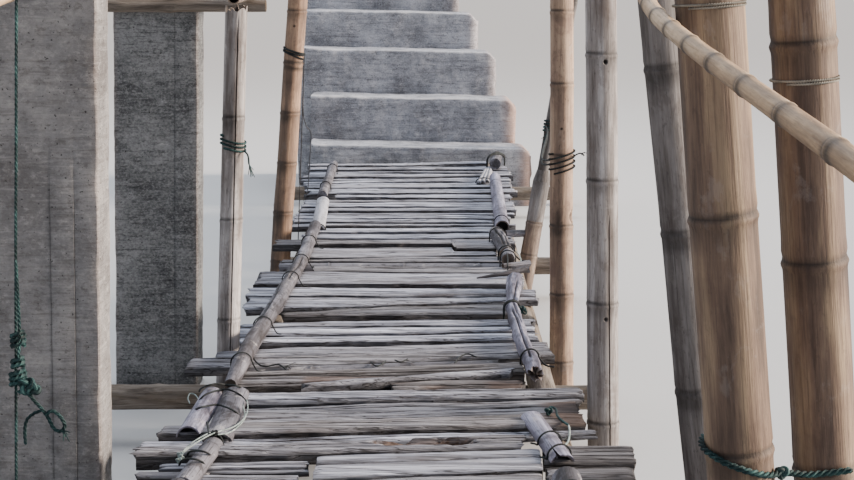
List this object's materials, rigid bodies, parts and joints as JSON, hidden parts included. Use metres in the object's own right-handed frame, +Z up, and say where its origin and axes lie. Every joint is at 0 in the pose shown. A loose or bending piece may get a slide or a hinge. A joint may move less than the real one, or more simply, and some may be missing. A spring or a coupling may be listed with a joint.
{
  "type": "rustic bamboo and rope footbridge",
  "caption": "Low rustic footbridge: wooden cross planks on poles, bamboo posts and handrails, ropes with hangers, concrete pillars, end sill and stair.",
  "frame": {"origin": "middle of the footprint at ground level", "axes": "+Y runs along the bridge from the near sill to the stair, +X is to the right, +Z is up"},
  "size_m": [2.022, 10.0212, 2.25],
  "materials": {
    "deck_wood": "weathered, dry, rough",
    "kerb_cane": "weathered cane, dry",
    "kerb_half_cane": "weathered split cane, dry",
    "log_wood": "rough log",
    "pillar_concrete": "board-marked concrete",
    "step_concrete": "worn concrete",
    "sill_concrete": "plain concrete",
    "rope": "twisted synthetic rope",
    "wire": "dull tie wire",
    "rail_cane": "dry golden cane",
    "brown_cane": "aged brown cane",
    "grey_cane": "aged grey cane",
    "red_cane": "reddish cane",
    "tan_cane": "tan cane"
  },
  "bodies": {
    "root": {"brace_foot": "tan_cane", "brace_pole": "grey_cane", "deck_bay_1": "deck_wood", "deck_bay_2": "deck_wood", "deck_bay_3": "deck_wood", "deck_bay_4": "deck_wood", "deck_bay_5": "deck_wood", "deck_bay_6": "deck_wood", "handrail_left_far": "rail_cane", "handrail_left_near": "rail_cane", "handrail_right_far": "rail_cane", "handrail_right_near": "rail_cane", "kerb_left_1": "kerb_cane", "kerb_left_2": "kerb_cane", "kerb_left_3": "kerb_cane", "kerb_left_4": "kerb_half_cane", "kerb_left_5": "kerb_cane", "kerb_left_6": "kerb_cane", "kerb_left_7": "kerb_cane", "kerb_right_1": "kerb_cane", "kerb_right_2": "kerb_cane", "kerb_right_3": "kerb_cane", "kerb_right_4": "kerb_cane", "kerb_right_5": "kerb_cane", "kerb_right_6": "kerb_cane", "kerb_right_7": "kerb_cane", "mast_left_end": "tan_cane", "mast_right_end": "tan_cane", "near_sill": "sill_concrete", "pillar_far": "pillar_concrete", "pillar_near": "pillar_concrete", "pillar_tie_pole": "log_wood", "post_left_far": "tan_cane", "post_left_far_wires": "wire", "post_left_near": "tan_cane", "post_left_short": "grey_cane", "post_right_1": "brown_cane", "post_right_2": "brown_cane", "post_right_3": "tan_cane", "post_right_4": "grey_cane", "post_right_5": "red_cane", "rope_left": "rope", "rope_right": "rope", "step_1": "step_concrete", "step_2": "step_concrete", "step_3": "step_concrete", "step_4": "step_concrete", "step_5": "step_concrete", "transom_1": "log_wood", "transom_2": "log_wood", "transom_3": "log_wood", "transom_4": "log_wood", "transom_5": "log_wood"}
  },
  "joints": []
}
